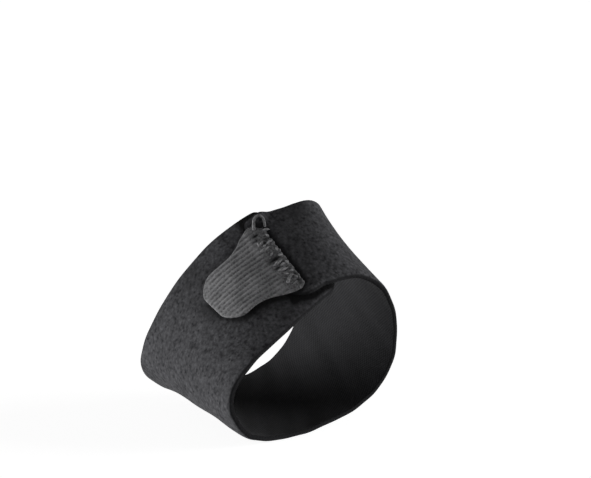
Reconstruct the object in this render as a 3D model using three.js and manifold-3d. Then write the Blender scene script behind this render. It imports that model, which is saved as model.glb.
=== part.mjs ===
import * as THREE from 'three';
import { mergeVertices } from 'three/addons/utils/BufferGeometryUtils.js';
import Module from 'manifold-3d';

// An arch support sleeve: one strip of plush cloth on foam, wound once into a closed ring that
// slopes down to the front. Its end comes back over its start on top, where a ribbed tab sewn to
// that end holds it shut with a pad of small hooks.
// Lengths are in millimetres. +X points to the front, +Y to the arch side and +Z up.
// The origin lies on the axis of the hollow, halfway along the sleeve.

// The hollow: its length, and its width and height at the rear and the front edge
const sleeveLength = 71;
const rearWidth = 73;
const rearHeight = 77;
const frontWidth = 82;
const frontHeight = 54;
const axisHeight = (rearHeight + frontHeight) / 4;

// The strip
const clothThickness = 2.2;
const clearance = 0.3;
const startCorner = 4;

// The overlap on top. Distances run from the ridge, the highest line, towards the outer side.
const endReach = 24;
const overlap = 21;
const endFrontCorner = 7;
const endRearCorner = 3;
const liftLength = 18;
const sewnWidth = 7;
const sewnThickness = 1.3;

// The tab and the hooks under it
const tabLength = 33.5;
const tabThickness = 1;
const tabCorner = 8;
const seamCorner = 2.5;
const ribPitch = 2;
const ribHeight = 0.3;
const ribLean = 2;
const stitchPitch = 12;
const stitchDepth = 0.5;
const hookThickness = 1;
const hookMargin = 3.5;
const hookCorner = 5;

// How finely the curves are divided
const stripStep = 2.6;
const fineStep = 1.2;
const stripCells = 6;
const outlineCells = 8;
const hookCells = 4;
const cornerSteps = 6;

// The two edges of the sleeve. across is a share of half the width at that edge, up a share of
// the height there, and along a share of half the sleeve's length.
// Each edge is a smooth closed curve that is pulled towards these twelve places.
const rearEdge = [
  { place: 'ridge', across: 0.57, up: 1.03, along: -0.06 },
  { place: 'outer shoulder', across: -0.10, up: 0.98, along: -0.27 },
  { place: 'outer slope', across: -0.69, up: 0.70, along: -0.54 },
  { place: 'outer side', across: -1.01, up: 0.36, along: -0.78 },
  { place: 'outer edge below', across: -0.99, up: 0.16, along: -0.98 },
  { place: 'outer half below', across: -0.53, up: 0.05, along: -1.02 },
  { place: 'middle below', across: 0.05, up: 0.01, along: -1.00 },
  { place: 'inner half below', across: 0.57, up: 0.05, along: -0.96 },
  { place: 'arch edge below', across: 0.90, up: 0.19, along: -0.90 },
  { place: 'arch side', across: 1.03, up: 0.41, along: -0.78 },
  { place: 'arch slope', across: 1.01, up: 0.67, along: -0.53 },
  { place: 'arch shoulder', across: 0.89, up: 0.91, along: -0.21 },
];
const frontEdge = [
  { place: 'ridge', across: 0.35, up: 1.01, along: 0.91 },
  { place: 'outer shoulder', across: -0.15, up: 0.82, along: 1.03 },
  { place: 'outer slope', across: -0.70, up: 0.60, along: 1.09 },
  { place: 'outer side', across: -1.04, up: 0.38, along: 1.08 },
  { place: 'outer edge below', across: -1.00, up: 0.16, along: 1.11 },
  { place: 'outer half below', across: -0.75, up: -0.01, along: 1.07 },
  { place: 'middle below', across: -0.29, up: -0.04, along: 1.00 },
  { place: 'inner half below', across: 0.27, up: 0.01, along: 0.96 },
  { place: 'arch edge below', across: 0.74, up: 0.15, along: 0.92 },
  { place: 'arch side', across: 0.99, up: 0.40, along: 0.87 },
  { place: 'arch slope', across: 0.99, up: 0.72, along: 0.86 },
  { place: 'arch shoulder', across: 0.75, up: 0.98, along: 0.86 },
];

// The strip narrows towards the end that lies on top. back is the distance from that end as a
// share of the overlap. rear and front are where its edges run, as shares of the sleeve's width.
const endTaper = [
  { back: 0.00, rear: 0.07, front: 0.86 },
  { back: 0.16, rear: 0.07, front: 0.87 },
  { back: 0.33, rear: 0.06, front: 0.91 },
  { back: 0.50, rear: 0.07, front: 0.93 },
  { back: 0.72, rear: 0.08, front: 0.93 },
  { back: 0.95, rear: 0.06, front: 0.96 },
  { back: 1.35, rear: 0.02, front: 0.99 },
  { back: 1.70, rear: 0.00, front: 1.00 },
];

// The start that lies underneath is cut back at its rear edge, so that it stays hidden. ahead is
// the distance from that start as a share of the overlap.
const startTaper = [
  { ahead: 0.00, rear: 0.10 },
  { ahead: 0.38, rear: 0.10 },
  { ahead: 0.58, rear: 0.06 },
  { ahead: 0.72, rear: 0.01 },
  { ahead: 0.85, rear: 0.00 },
];

// The outline of the tab from its seam to its free end. along is a share of its length, and rear
// and front are shares of the sleeve's width.
const tabOutline = [
  { along: 0.00, rear: 0.20, front: 0.84 },
  { along: 0.08, rear: 0.16, front: 0.84 },
  { along: 0.18, rear: 0.14, front: 0.82 },
  { along: 0.30, rear: 0.17, front: 0.78 },
  { along: 0.42, rear: 0.22, front: 0.74 },
  { along: 0.58, rear: 0.24, front: 0.71 },
  { along: 0.80, rear: 0.24, front: 0.70 },
  { along: 1.00, rear: 0.25, front: 0.67 },
];

// The section of the webbing: one rib and the groove before it, as shares of the pitch and of
// the rib's height
const ribSection = [
  { across: 0.00, rise: 0 },
  { across: 0.24, rise: 1 },
  { across: 0.76, rise: 1 },
];

// A closed curve of class B-spline, which follows its places without passing through them
class EdgeLoop extends THREE.Curve {
  constructor(places) {
    super();
    this.places = places;
    this.arcLengthDivisions = 480;
  }

  getPoint(t, target = new THREE.Vector3()) {
    const count = this.places.length;
    const walked = THREE.MathUtils.euclideanModulo(t, 1) * count;
    const first = Math.floor(walked);
    const f = walked - first;
    const pulls = [
      (1 - f) ** 3 / 6,
      (3 * f ** 3 - 6 * f ** 2 + 4) / 6,
      (-3 * f ** 3 + 3 * f ** 2 + 3 * f + 1) / 6,
      f ** 3 / 6,
    ];
    target.set(0, 0, 0);
    pulls.forEach((pull, k) => {
      target.addScaledVector(this.places[(first + k - 1 + count) % count], pull);
    });
    return target;
  }
}

function edgePoints(rows, width, height) {
  return rows.map(({ across, up, along }) => new THREE.Vector3(
    along * sleeveLength / 2,
    across * width / 2,
    up * height - axisHeight,
  ));
}

const rearPoints = edgePoints(rearEdge, rearWidth, rearHeight);
const frontPoints = edgePoints(frontEdge, frontWidth, frontHeight);
const rearLoop = new EdgeLoop(rearPoints);
const frontLoop = new EdgeLoop(frontPoints);
const middleLoop = new EdgeLoop(rearPoints.map((p, k) => p.clone().lerp(frontPoints[k], 0.5)));
const girth = middleLoop.getLength();

// A point of the sleeve: round is the distance from the ridge along the middle of the strip,
// share goes from 0 at the rear edge to 1 at the front edge, and out is the distance from the hollow.
function sleevePoint(round, share, out) {
  const t = middleLoop.getUtoTmapping(THREE.MathUtils.euclideanModulo(round / girth, 1));
  const onHollow = (u) => rearLoop.getPoint(u).lerp(frontLoop.getPoint(u), share);
  const nudge = 0.002;
  const around = onHollow(t + nudge).sub(onHollow(t - nudge));
  const forward = frontLoop.getPoint(t).sub(rearLoop.getPoint(t));
  return onHollow(t).addScaledVector(around.cross(forward).normalize(), out);
}

function localWidth(round) {
  return sleevePoint(round, 0, 0).distanceTo(sleevePoint(round, 1, 0));
}

// Reads a column of a table between its rows, with no corner at the rows
function fromTable(rows, key, column, at) {
  const last = rows.length - 1;
  if (at <= rows[0][key]) return rows[0][column];
  if (at >= rows[last][key]) return rows[last][column];
  const k = rows.findIndex((row) => row[key] > at) - 1;
  const slope = (i) => {
    if (i === 0 || i === last) return 0;
    return (rows[i + 1][column] - rows[i - 1][column]) / (rows[i + 1][key] - rows[i - 1][key]);
  };
  const span = rows[k + 1][key] - rows[k][key];
  const f = (at - rows[k][key]) / span;
  const rise = rows[k + 1][column] - rows[k][column];
  const entry = slope(k) * span;
  const exit = slope(k + 1) * span;
  return rows[k][column] + f * entry + f ** 2 * (3 * rise - 2 * entry - exit)
    + f ** 3 * (entry + exit - 2 * rise);
}

// How far a rounded corner holds the edge back, at a distance from the end of the piece
function cornerInset(distance, radius) {
  const left = Math.max(radius - distance, 0);
  return radius - Math.sqrt(Math.max(radius ** 2 - left ** 2, 0));
}

// Distances from an end that follow a rounded corner evenly
function cornerStations(radius) {
  return Array.from({ length: cornerSteps + 1 }, (_, k) => (
    radius * (1 - Math.cos(k / cornerSteps * Math.PI / 2))
  ));
}

function evenStations(from, to, step) {
  const count = Math.max(1, Math.ceil((to - from) / step));
  return Array.from({ length: count + 1 }, (_, k) => from + (to - from) * k / count);
}

function inOrder(stations) {
  const sorted = stations.sort((a, b) => a - b);
  return sorted.filter((s, k) => k === 0 || s - sorted[k - 1] > clearance / 2);
}

function evenShares(cells) {
  return Array.from({ length: cells + 1 }, (_, k) => k / cells);
}

// A closed solid of cloth that lies round the hollow. edges gives its two edges as shares of the
// width, and under and over give the distance of its two faces from the hollow, at each station.
// lines are the places of its lengthwise lines, from 0 at the rear edge to 1 at the front edge.
function clothSolid({ stations, lines, edges, under, over }) {
  const positions = [];
  stations.forEach((round) => {
    const [rear, front] = edges(round);
    lines.forEach((line, j) => {
      const share = rear + (front - rear) * line;
      positions.push(...sleevePoint(round, share, under(round)).toArray());
      positions.push(...sleevePoint(round, share, over(round, j)).toArray());
    });
  });
  const cells = lines.length - 1;
  const last = stations.length - 1;
  const inner = (i, j) => 2 * (i * (cells + 1) + j);
  const outer = (i, j) => inner(i, j) + 1;
  const indices = [];
  const quad = (a, b, c, d) => indices.push(a, b, c, a, c, d);
  for (let i = 0; i < last; i += 1) {
    for (let j = 0; j < cells; j += 1) {
      quad(outer(i, j), outer(i + 1, j), outer(i + 1, j + 1), outer(i, j + 1));
      quad(inner(i, j), inner(i, j + 1), inner(i + 1, j + 1), inner(i + 1, j));
    }
    quad(inner(i, 0), inner(i + 1, 0), outer(i + 1, 0), outer(i, 0));
    quad(inner(i, cells), outer(i, cells), outer(i + 1, cells), inner(i + 1, cells));
  }
  for (let j = 0; j < cells; j += 1) {
    quad(inner(0, j), outer(0, j), outer(0, j + 1), inner(0, j + 1));
    quad(inner(last, j), inner(last, j + 1), outer(last, j + 1), outer(last, j));
  }
  const geometry = new THREE.BufferGeometry();
  geometry.setAttribute('position', new THREE.Float32BufferAttribute(positions, 3));
  geometry.setIndex(indices);
  geometry.computeVertexNormals();
  return geometry;
}

// Places round the sleeve that the pieces share
const stripStart = endReach - overlap;
const stripEnd = girth + endReach;
const seam = endReach - sewnWidth;
const secondLayer = clothThickness + clearance;
const hookTop = secondLayer + hookThickness;

// The strip lies round the hollow, rises before it meets its own start and then lies on top of it
function stripUnder(round) {
  const top = girth + stripStart - clearance;
  return secondLayer * THREE.MathUtils.smoothstep(round, top - liftLength, top);
}

// The strip is pressed thin where the tab is sewn on
function stripThickness(round) {
  const pressed = THREE.MathUtils.smoothstep(round, girth + seam - clothThickness, girth + seam);
  return THREE.MathUtils.lerp(clothThickness, sewnThickness, pressed);
}

function stripEdges(round) {
  const width = localWidth(round);
  const back = stripEnd - round;
  const start = cornerInset(round - stripStart, startCorner) / width;
  const cutBack = fromTable(startTaper, 'ahead', 'rear', (round - stripStart) / overlap);
  const rear = fromTable(endTaper, 'back', 'rear', back / overlap);
  const front = fromTable(endTaper, 'back', 'front', back / overlap);
  return [
    rear + cutBack + start + cornerInset(back, endRearCorner) / width,
    front - start - cornerInset(back, endFrontCorner) / width,
  ];
}

function wrapBand() {
  const fineFrom = stripEnd - sewnWidth - 2 * clothThickness;
  const stations = inOrder([
    ...cornerStations(startCorner).map((d) => stripStart + d),
    ...evenStations(stripStart + startCorner, fineFrom, stripStep),
    ...evenStations(fineFrom, stripEnd - endFrontCorner, fineStep),
    ...cornerStations(endFrontCorner).map((d) => stripEnd - d),
  ]);
  return clothSolid({
    stations,
    lines: evenShares(stripCells),
    edges: stripEdges,
    under: stripUnder,
    over: (round) => stripUnder(round) + stripThickness(round),
  });
}

function tabEdges(round) {
  const width = localWidth(round);
  const along = (round - seam) / tabLength;
  const free = cornerInset(seam + tabLength - round, tabCorner) / width;
  const sewn = cornerInset(round - seam, seamCorner) / width;
  return [
    fromTable(tabOutline, 'along', 'rear', along) + free,
    fromTable(tabOutline, 'along', 'front', along) - free - sewn,
  ];
}

// The tab lies on the sewn end of the strip, then steps over to the hooks
function tabUnder(round) {
  const onEnd = secondLayer + sewnThickness + clearance;
  const onHooks = hookTop + clearance;
  const step = THREE.MathUtils.smoothstep(round, endReach + clearance, endReach + hookMargin);
  return THREE.MathUtils.lerp(onEnd, onHooks, step);
}

// The stitches pull the tab down in a row of dents along its seam
function stitchDent(round, fromAxis) {
  const along = THREE.MathUtils.clamp((round - seam) / sewnWidth, 0, 1);
  const row = 0.5 + 0.5 * Math.cos(fromAxis / stitchPitch * 2 * Math.PI);
  return stitchDepth * Math.sin(along * Math.PI) * row;
}

// Webbing with ribs that run round the sleeve and lean a little to the rear as they go down
function webbing(stations) {
  const widths = stations.map((round) => {
    const [rear, front] = tabEdges(round);
    return (front - rear) * localWidth(round);
  });
  const ribCount = Math.ceil(Math.max(...widths) / ribPitch) + 2;
  const span = ribCount * ribPitch;
  const ribs = Array.from({ length: ribCount }, (_, i) => i);
  const rows = ribs.flatMap((i) => ribSection.map(({ across, rise }) => ({ at: i + across, rise })));
  rows.push({ at: ribCount, rise: 0 });
  const axis = (tabOutline[0].rear + tabOutline[0].front) / 2;
  return clothSolid({
    stations,
    lines: rows.map(({ at }) => at / ribCount),
    edges: (round) => {
      const width = localWidth(round);
      const centre = axis - ribLean * (round - seam) / tabLength / width;
      return [centre - span / 2 / width, centre + span / 2 / width];
    },
    under: tabUnder,
    over: (round, j) => tabUnder(round) + tabThickness + ribHeight * rows[j].rise
      - stitchDent(round, rows[j].at * ribPitch - span / 2),
  });
}

// A block with the outline of the tab, thick enough to cut it out of the webbing
function tabBlock() {
  const end = seam + tabLength;
  const spare = 2 * tabThickness;
  return clothSolid({
    stations: inOrder([
      ...cornerStations(seamCorner).map((d) => seam + d),
      ...evenStations(seam + seamCorner, end - tabCorner, fineStep),
      ...cornerStations(tabCorner).map((d) => end - d),
    ]),
    lines: evenShares(outlineCells),
    edges: tabEdges,
    under: (round) => tabUnder(round) - spare,
    over: (round) => tabUnder(round) + ribHeight + tabThickness + spare,
  });
}

const wasm = await Module();
wasm.setup();

function toSolid(geometry) {
  const plain = geometry.clone();
  plain.deleteAttribute('normal');
  const merged = mergeVertices(plain, 1e-4);
  return new wasm.Manifold(new wasm.Mesh({
    numProp: 3,
    vertProperties: new Float32Array(merged.attributes.position.array),
    triVerts: new Uint32Array(merged.index.array),
  }));
}

function toGeometry(solid) {
  const mesh = solid.getMesh();
  const geometry = new THREE.BufferGeometry();
  geometry.setAttribute('position', new THREE.BufferAttribute(mesh.vertProperties, 3));
  geometry.setIndex(new THREE.BufferAttribute(mesh.triVerts, 1));
  geometry.computeVertexNormals();
  return geometry;
}

function closureTab() {
  const spare = ribPitch;
  const end = seam + tabLength;
  const stations = [
    ...evenStations(seam - spare, seam + sewnWidth, fineStep),
    ...evenStations(seam + sewnWidth, end + spare, stripStep).slice(1),
  ];
  return toGeometry(toSolid(webbing(stations)).intersect(toSolid(tabBlock())));
}

// The hooks stay back from the edges of the tab, between it and the first layer of the strip
function hookPad() {
  const from = endReach + hookMargin;
  const to = seam + tabLength - hookMargin;
  return clothSolid({
    stations: inOrder([
      ...cornerStations(hookCorner).map((d) => from + d),
      ...evenStations(from + hookCorner, to - hookCorner, stripStep),
      ...cornerStations(hookCorner).map((d) => to - d),
    ]),
    lines: evenShares(hookCells),
    edges: (round) => {
      const [rear, front] = tabEdges(round);
      const corners = cornerInset(round - from, hookCorner) + cornerInset(to - round, hookCorner);
      const inset = (hookMargin + corners) / localWidth(round);
      return [rear + inset, front - inset];
    },
    under: () => secondLayer,
    over: () => hookTop,
  });
}

function piece(name, geometry, color, roughness) {
  const material = new THREE.MeshStandardMaterial({ color, roughness, metalness: 0 });
  const mesh = new THREE.Mesh(geometry, material);
  mesh.name = name;
  return mesh;
}

const group = new THREE.Group();
group.name = 'arch_support_sleeve';
group.add(piece('wrap_band', wrapBand(), '#303032', 0.95));
group.add(piece('closure_tab', closureTab(), '#4b4b4d', 0.8));
group.add(piece('hook_pad', hookPad(), '#1c1c1d', 0.7));

export default group;
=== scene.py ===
"""Looks of an arch support sleeve: a strip of plush cloth wound once into a closed ring, and a
ribbed tab with hooks that holds its end down on top.

Run as a script in Blender 4.5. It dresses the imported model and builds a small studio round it.
The part's frame holds throughout: +X to the front, +Y to the arch side, +Z up, in metres.
"""

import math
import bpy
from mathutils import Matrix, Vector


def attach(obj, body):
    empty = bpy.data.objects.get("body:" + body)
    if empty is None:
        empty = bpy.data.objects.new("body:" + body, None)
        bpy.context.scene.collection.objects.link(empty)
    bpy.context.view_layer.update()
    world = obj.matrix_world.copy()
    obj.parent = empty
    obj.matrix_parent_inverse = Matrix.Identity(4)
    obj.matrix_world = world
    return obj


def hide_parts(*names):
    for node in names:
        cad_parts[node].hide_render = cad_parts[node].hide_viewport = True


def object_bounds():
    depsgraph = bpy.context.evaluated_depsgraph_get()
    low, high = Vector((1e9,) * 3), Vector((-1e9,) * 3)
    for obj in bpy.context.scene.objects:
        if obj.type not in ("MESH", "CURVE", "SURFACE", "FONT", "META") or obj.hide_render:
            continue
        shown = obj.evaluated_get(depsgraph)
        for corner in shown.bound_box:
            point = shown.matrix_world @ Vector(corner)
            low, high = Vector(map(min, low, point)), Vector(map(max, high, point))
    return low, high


bl_info = {
    "name": "Arch Support Sleeve",
    "version": (1, 0, 0),
    "blender": (4, 5, 0),
    "location": "View3D > Sidebar > Sleeve",
    "description": "Builds the plush strip, ribbed tab, hooks and stitches of an arch support sleeve",
    "category": "Object",
}

import bpy
import numpy as np
from bpy.props import FloatProperty, FloatVectorProperty, PointerProperty
from mathutils import Vector

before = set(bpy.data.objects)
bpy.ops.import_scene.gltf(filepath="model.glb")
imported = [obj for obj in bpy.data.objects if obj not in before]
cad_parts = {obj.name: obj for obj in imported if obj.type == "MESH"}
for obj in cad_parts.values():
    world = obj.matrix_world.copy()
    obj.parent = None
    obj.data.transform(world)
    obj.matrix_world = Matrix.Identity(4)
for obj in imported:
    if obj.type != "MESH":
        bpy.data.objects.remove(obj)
CAD_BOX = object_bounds()
MM = 0.001

# Steps of the hollow's middle loop, and the share of a turn over which a normal is taken
LOOP_STEPS = 2880
NUDGE = 0.002

# Distances of the first rows and columns of a mesh from its edges, in millimetres
EDGE_ROWS = (0, 0.08, 0.2, 0.4, 0.65, 0.95)
EDGE_COLUMNS = (0, 0.05, 0.15, 0.32, 0.6, 1.0)

# The caps of a thread, from the tip inwards: reach beyond the end of the path and size of the
# circle there, as shares of the radius. The last direction is one that no thread runs along.
CAPS = ((0.9, 0.12), (0.6, 0.7))
ASLANT = (0.31, -0.52, 0.80)

# The studio in metres: the place that the camera looks at, how far it sees, half the floor's side,
# the cells along that side and the gap over the floor. Then the angle that a light seems wide.
AIM = (-0.0002, 0.007, 0.02725)
SIGHT = 50
FLOOR_REACH = 9
FLOOR_CELLS = 12
FLOOR_GAP = 0.3 * MM
SUN_SPREAD = math.radians(35)

# The two edges of the sleeve, in twelve places from the ridge over the outer side and the
# underside to the arch side. The columns are the share of half the width, the share of the height
# and the share of half the sleeve's length. The numbers are the rounded result of a least squares
# fit to a traced outline.
REAR_EDGE = (
    (0.57, 1.03, -0.06),
    (-0.10, 0.98, -0.27),
    (-0.69, 0.70, -0.54),
    (-1.01, 0.36, -0.78),
    (-0.99, 0.16, -0.98),
    (-0.53, 0.05, -1.02),
    (0.05, 0.01, -1.00),
    (0.57, 0.05, -0.96),
    (0.90, 0.19, -0.90),
    (1.03, 0.41, -0.78),
    (1.01, 0.67, -0.53),
    (0.89, 0.91, -0.21),
)
FRONT_EDGE = (
    (0.35, 1.01, 0.91),
    (-0.15, 0.82, 1.03),
    (-0.70, 0.60, 1.09),
    (-1.04, 0.38, 1.08),
    (-1.00, 0.16, 1.11),
    (-0.75, -0.01, 1.07),
    (-0.29, -0.04, 1.00),
    (0.27, 0.01, 0.96),
    (0.74, 0.15, 0.92),
    (0.99, 0.40, 0.87),
    (0.99, 0.72, 0.86),
    (0.75, 0.98, 0.86),
)

# Where the strip's edges run near the end on top: distance from that end as a share of the
# overlap, then the rear and the front edge as shares of the sleeve's width. The rows of the tapers
# and of the tab's outline were set by hand, from traced places that a script turned into shares.
END_TAPER = (
    (0.00, 0.07, 0.86),
    (0.16, 0.07, 0.87),
    (0.33, 0.06, 0.91),
    (0.50, 0.07, 0.93),
    (0.72, 0.08, 0.93),
    (0.95, 0.06, 0.96),
    (1.35, 0.02, 0.99),
    (1.70, 0.00, 1.00),
)

# The start underneath, cut back at its rear edge: distance from it, then the rear edge
START_TAPER = (
    (0.00, 0.10),
    (0.38, 0.10),
    (0.58, 0.06),
    (0.72, 0.01),
    (0.85, 0.00),
)

# The tab from its seam to its free end: share of its length, then its rear and front edge
TAB_OUTLINE = (
    (0.00, 0.20, 0.84),
    (0.08, 0.16, 0.84),
    (0.18, 0.14, 0.82),
    (0.30, 0.17, 0.78),
    (0.42, 0.22, 0.74),
    (0.58, 0.24, 0.71),
    (0.80, 0.24, 0.70),
    (1.00, 0.25, 0.67),
)

# Slow swells of the soft cloth: height in millimetres, waves round the sleeve, waves across, phase
SWELLS = (
    (0.12, 5, 0.7, 0.4),
    (0.11, 9, 1.3, 2.1),
    (0.09, 14, 2.2, 4.0),
    (0.06, 23, 2.9, 1.2),
)

# Places where the cloth stands out a little or sinks: millimetres round the sleeve, share of
# the width, reach round it in millimetres, reach as a share of the width, height in millimetres
BULGES = (
    (96, 0.88, 16, 0.16, 1.3),
    (95, 0.00, 12, 0.10, 1.0),
    (93, 0.28, 14, 0.12, -0.4),
    (40, 0.00, 12, 0.20, 0.5),
    (20, 0.03, 5, 0.10, 0.8),
    (17.2, 0.03, 2.4, 0.08, 1.1),
    (14, 0.07, 2.2, 0.10, -0.45),
    (-3, 0.00, 9, 0.12, 0.6),
)

# Dents where the stitches pull the tab down: place round the sleeve in millimetres, share of
# its width, reach round it, reach across and depth in millimetres. The places of the dents, the
# stitches and the loose ends were traced, and scripts turned them into millimetres and shares and
# rounded them.
DENTS = (
    (22.4, 0.23, 1.1, 0.6, 0.60),
    (23.0, 0.27, 0.7, 0.7, 0.35),
    (21.2, 0.325, 0.6, 0.5, 0.55),
    (19.9, 0.30, 1.2, 0.9, 0.30),
    (22.4, 0.405, 0.6, 0.4, 0.35),
    (21.3, 0.495, 2.6, 0.9, 0.50),
    (22.4, 0.575, 1.6, 0.5, 0.45),
    (19.8, 0.625, 0.9, 0.5, 0.50),
    (18.0, 0.70, 1.0, 0.9, 0.45),
    (20.0, 0.555, 1.3, 0.4, 0.30),
    (18.0, 0.765, 1.0, 0.9, 0.40),
)

# Stitches on the tab: start and end of each, as millimetres round the sleeve and share of
# its width, and its thickness in millimetres
STITCHES = (
    ((23.3, 0.325), (21.3, 0.305), 0.9),
    ((23.2, 0.29), (23.4, 0.33), 0.8),
    ((24.2, 0.375), (20.5, 0.375), 1.2),
    ((20.6, 0.34), (18.3, 0.335), 0.9),
    ((18.5, 0.41), (18.6, 0.445), 0.8),
    ((23.2, 0.54), (19.2, 0.535), 1.1),
    ((20.8, 0.57), (18.5, 0.57), 0.9),
    ((23.0, 0.60), (18.8, 0.62), 1.0),
    ((18.1, 0.55), (17.9, 0.595), 0.8),
    ((19.1, 0.26), (18.6, 0.295), 0.7),
    ((19.2, 0.215), (17.0, 0.24), 0.8),
    ((21.0, 0.775), (18.6, 0.77), 0.5),
    ((22.4, 0.35), (20.9, 0.345), 0.7),
    ((21.9, 0.45), (20.4, 0.435), 0.7),
    ((19.4, 0.48), (17.8, 0.495), 0.8),
    ((21.4, 0.655), (19.9, 0.67), 0.7),
    ((18.9, 0.655), (17.4, 0.67), 0.7),
)

# Patches of painted shade, where the pile is coloured dark: millimetres round the sleeve, share of
# the width, reach round it in millimetres, reach as a share of the width, strength
SHADE_PATCHES = (
    (5.0, 0.08, 5.0, 0.18, 0.75),
    (11.5, 0.55, 4.0, 0.34, 0.30),
    (53.0, 0.36, 3.5, 0.16, 0.35),
    (49.0, 0.08, 6.0, 0.12, 0.35),
)

# Loose ends of thread that curl: millimetres round the sleeve and share of its width
LOOSE_LOOP = (
    (21.7, 0.18), (21.1, 0.15), (20.4, 0.12), (19.4, 0.10), (18.3, 0.095),
    (17.5, 0.10), (17.1, 0.12), (17.1, 0.145), (17.4, 0.17), (17.9, 0.20),
)
CURL = ((22.2, 0.735), (20.7, 0.71), (18.9, 0.705), (18.1, 0.74))


def length_choice(name, description, metres):
    """A length that a user may change."""
    return FloatProperty(name=name, description=description, default=metres, unit="LENGTH")


def angle_choice(name, description, degrees):
    """An angle that a user may change."""
    return FloatProperty(name=name, description=description, default=math.radians(degrees), subtype="ANGLE")


def number_choice(name, description, value):
    """A plain number that a user may change."""
    return FloatProperty(name=name, description=description, default=value)


def colour_choice(name, description, shade):
    """A colour that a user may change, from its shade in linear light."""
    return FloatVectorProperty(
        name=name, description=description, default=shade, subtype="COLOR", size=3, min=0, max=1
    )


class StripSizes(bpy.types.PropertyGroup):
    """Sizes of the hollow and of the strip round it."""

    length: length_choice("Sleeve length", "From the rear edge to the front edge", 0.071)
    rear_width: length_choice("Rear width", "Width of the hollow at the rear edge", 0.073)
    rear_height: length_choice("Rear height", "Height of the hollow at the rear edge", 0.077)
    front_width: length_choice("Front width", "Width of the hollow at the front edge", 0.082)
    front_height: length_choice("Front height", "Height of the hollow at the front edge", 0.054)
    thickness: length_choice("Cloth thickness", "Plush, foam and lining together", 0.0022)
    sewn: length_choice("Sewn thickness", "Thickness where the tab is sewn on", 0.0013)
    gap: length_choice("Clearance", "Gap between layers that touch", 0.0003)
    reach: length_choice("End reach", "From the ridge to the end on top", 0.024)
    overlap: length_choice("Overlap", "How far the end lies over the start", 0.021)
    lip: length_choice("Lip", "How far the end's front edge stands off", 0.0009)
    lift: length_choice("Lift length", "Over which the strip rises onto its start", 0.018)
    start_corner: length_choice("Start corner", "Radius of the corners underneath", 0.004)
    end_front_corner: length_choice("End front corner", "Radius on top, at the front", 0.007)
    end_rear_corner: length_choice("End rear corner", "Radius on top, at the rear", 0.003)
    front_roll: length_choice("Front roll", "How far the pile sinks at the front edge", 0.0009)
    rear_roll: length_choice("Rear roll", "How far the pile sinks at the rear edge", 0.0003)
    step: length_choice("Mesh step", "Distance between points of the mesh", 0.0009)


class TabSizes(bpy.types.PropertyGroup):
    """Sizes of the ribbed tab, its stitches and the hooks under it."""

    length: length_choice("Tab length", "From the seam to the free end", 0.0335)
    thickness: length_choice("Tab thickness", "Webbing without its ribs", 0.001)
    corner: length_choice("Tab corner", "Radius at the free end", 0.008)
    seam_corner: length_choice("Seam corner", "Radius at the seam, at the front", 0.0025)
    slant: length_choice("Seam slant", "How far the seam strays down towards the rear", 0.0023)
    sewn: length_choice("Sewn width", "How much of the tab lies on the strip's end", 0.007)
    rib_pitch: length_choice("Rib pitch", "From one rib to the next", 0.00215)
    rib_height: length_choice("Rib height", "How far a rib stands up", 0.0002)
    rib_lean: length_choice("Rib lean", "How far a rib strays to the rear over the tab", 0.002)
    loop: length_choice("Loop thickness", "Of the loose end of thread", 0.0014)
    hooks: length_choice("Hook tape thickness", "Tape and hooks together", 0.001)
    hook_margin: length_choice("Hook margin", "From the tab's edge to the hook tape", 0.0035)
    hook_corner: length_choice("Hook corner", "Radius of the hook tape's corners", 0.005)
    hook_pitch: length_choice("Hook pitch", "From one hook to the next", 0.0016)


class FinishColours(bpy.types.PropertyGroup):
    """Colours of the finishes."""

    pile: colour_choice("Pile", "Tips of the plush", (0.107, 0.107, 0.114))
    pile_deep: colour_choice("Deep pile", "Hollows of the plush", (0.020, 0.020, 0.022))
    lining: colour_choice("Lining", "Knitted cloth on the inner side", (0.040, 0.040, 0.043))
    foam: colour_choice("Foam", "Cut edge of the strip", (0.008, 0.008, 0.009))
    rib: colour_choice("Rib", "Crests of the webbing", (0.300, 0.300, 0.308))
    groove: colour_choice("Groove", "Hollows of the webbing", (0.105, 0.105, 0.108))
    thread: colour_choice("Thread", "Stitches and the loose end", (0.340, 0.340, 0.348))
    hooks: colour_choice("Hooks", "Hook tape", (0.015, 0.015, 0.016))


class StudioSizes(bpy.types.PropertyGroup):
    """The camera, the lights and the floor."""

    azimuth: angle_choice("Azimuth", "Direction of the camera round the sleeve", 55)
    elevation: angle_choice("Elevation", "Height of the camera above the horizon", 12.5)
    distance: length_choice("Distance", "From the sleeve to the camera", 1.8)
    lens: number_choice("Lens", "Focal length in millimetres", 279.6)
    aside: length_choice("Aside", "How far the view's middle lies to the right", 0.00604)
    above: length_choice("Above", "How far the view's middle lies above", 0.00593)
    key: number_choice("Key light", "Strength of the broad light on the left", 3.1)
    rim: number_choice("Rim light", "Strength of the light on the far side", 2.25)
    key_azimuth: angle_choice("Key azimuth", "Direction of the broad light", -38)
    key_elevation: angle_choice("Key elevation", "Height of the broad light", -7)
    rim_azimuth: angle_choice("Rim azimuth", "Direction of the far light", 150)
    rim_elevation: angle_choice("Rim elevation", "Height of the far light", 10)
    walls: number_choice("Walls", "Brightness of the light tent at eye level", 0.95)
    dim: number_choice("Dim parts", "Brightness of the tent above and below", 0.08)
    floor: colour_choice("Floor", "Pale floor", (0.40, 0.40, 0.40))
    glow: number_choice("Floor glow", "Light that the paper itself gives off", 0.92)


def smoothstep(low, high, x):
    """Rises from 0 at low to 1 at high, level at both."""
    f = np.clip((x - low) / (high - low), 0, 1)
    return f * f * (3 - 2 * f)


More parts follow.
